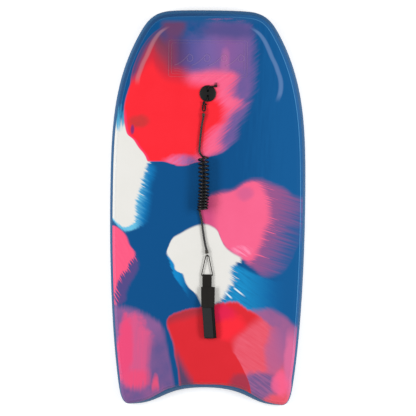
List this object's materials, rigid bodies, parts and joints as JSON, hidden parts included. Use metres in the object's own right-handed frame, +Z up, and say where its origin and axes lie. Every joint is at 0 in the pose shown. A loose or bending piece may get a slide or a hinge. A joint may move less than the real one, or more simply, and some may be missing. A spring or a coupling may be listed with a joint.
{
  "type": "bodyboard",
  "caption": "Foam bodyboard with crescent tail, printed deck and hard slick, with a screwed leash plug and a coiled wrist leash lying on the deck.",
  "frame": {"origin": "on the surface the board lies on, below the middle of the board's length and width", "axes": "+Y towards the nose, +Z up out of the deck, +X to the right when looking towards the nose from above"},
  "size_m": [0.515, 1.04, 0.0843],
  "materials": {
    "core_foam": "closed-cell foam",
    "deck_print": "printed foam skin, satin",
    "slick_plastic": "smooth",
    "rail_foam": "closed-cell foam",
    "plug_plastic": "moulded, satin",
    "string_nylon": "braided",
    "swivel_steel": "worn plating",
    "cord_urethane": "glossy urethane",
    "ring_steel": "drawn wire",
    "webbing_nylon": "ribbed webbing",
    "strap_cloth": "knitted nylon",
    "tape_cloth": "hook and loop pile"
  },
  "bodies": {
    "board": {"foam_core": "core_foam", "deck_skin": "deck_print", "slick_skin": "slick_plastic", "left_rail": "rail_foam", "right_rail": "rail_foam", "nose_bumper": "rail_foam", "tail_bumper": "rail_foam", "plug_cap": "plug_plastic", "plug_nut": "plug_plastic", "plug_string": "string_nylon", "upper_knot": "string_nylon", "lower_knot": "string_nylon", "swivel_loop": "string_nylon", "upper_eye": "swivel_steel", "lower_eye": "swivel_steel", "cord_upper": "cord_urethane", "leash_coil": "cord_urethane", "cord_lower": "cord_urethane"},
    "upper_barrel": {"upper_barrel": "swivel_steel"},
    "lower_barrel": {"lower_barrel": "swivel_steel"},
    "ring": {"cuff_ring": "ring_steel"},
    "cuff": {"ring_tab": "webbing_nylon", "cuff_strap": "strap_cloth", "loop_tape": "tape_cloth"},
    "flap": {"cuff_flap": "webbing_nylon", "hook_tape": "tape_cloth"}
  },
  "joints": [
    {"name": "upper_swivel", "type": "hinge", "parent": "board", "child": "upper_barrel", "pos_m": [-0.0127, 0.2528, 0.0587], "axis": [-0.0872, -0.9962, 0], "continuous": true},
    {"name": "lower_swivel", "type": "hinge", "parent": "board", "child": "lower_barrel", "pos_m": [0.0001, -0.125, 0.0587], "axis": [-0.1392, 0.9903, 0], "continuous": true},
    {"name": "ring_pivot", "type": "hinge", "parent": "board", "child": "ring", "pos_m": [0.0005, -0.1255, 0.0584], "axis": [-1, 0, 0], "range_deg": [0, 90]},
    {"name": "cuff_pivot", "type": "hinge", "parent": "ring", "child": "cuff", "pos_m": [0.0005, -0.17817, 0.0574], "axis": [-1, 0, 0], "range_deg": [0, 70]},
    {"name": "flap_peel", "type": "hinge", "parent": "cuff", "child": "flap", "pos_m": [0.0032, -0.208, 0.0624], "axis": [-1, 0, 0], "range_deg": [0, 95]}
  ]
}
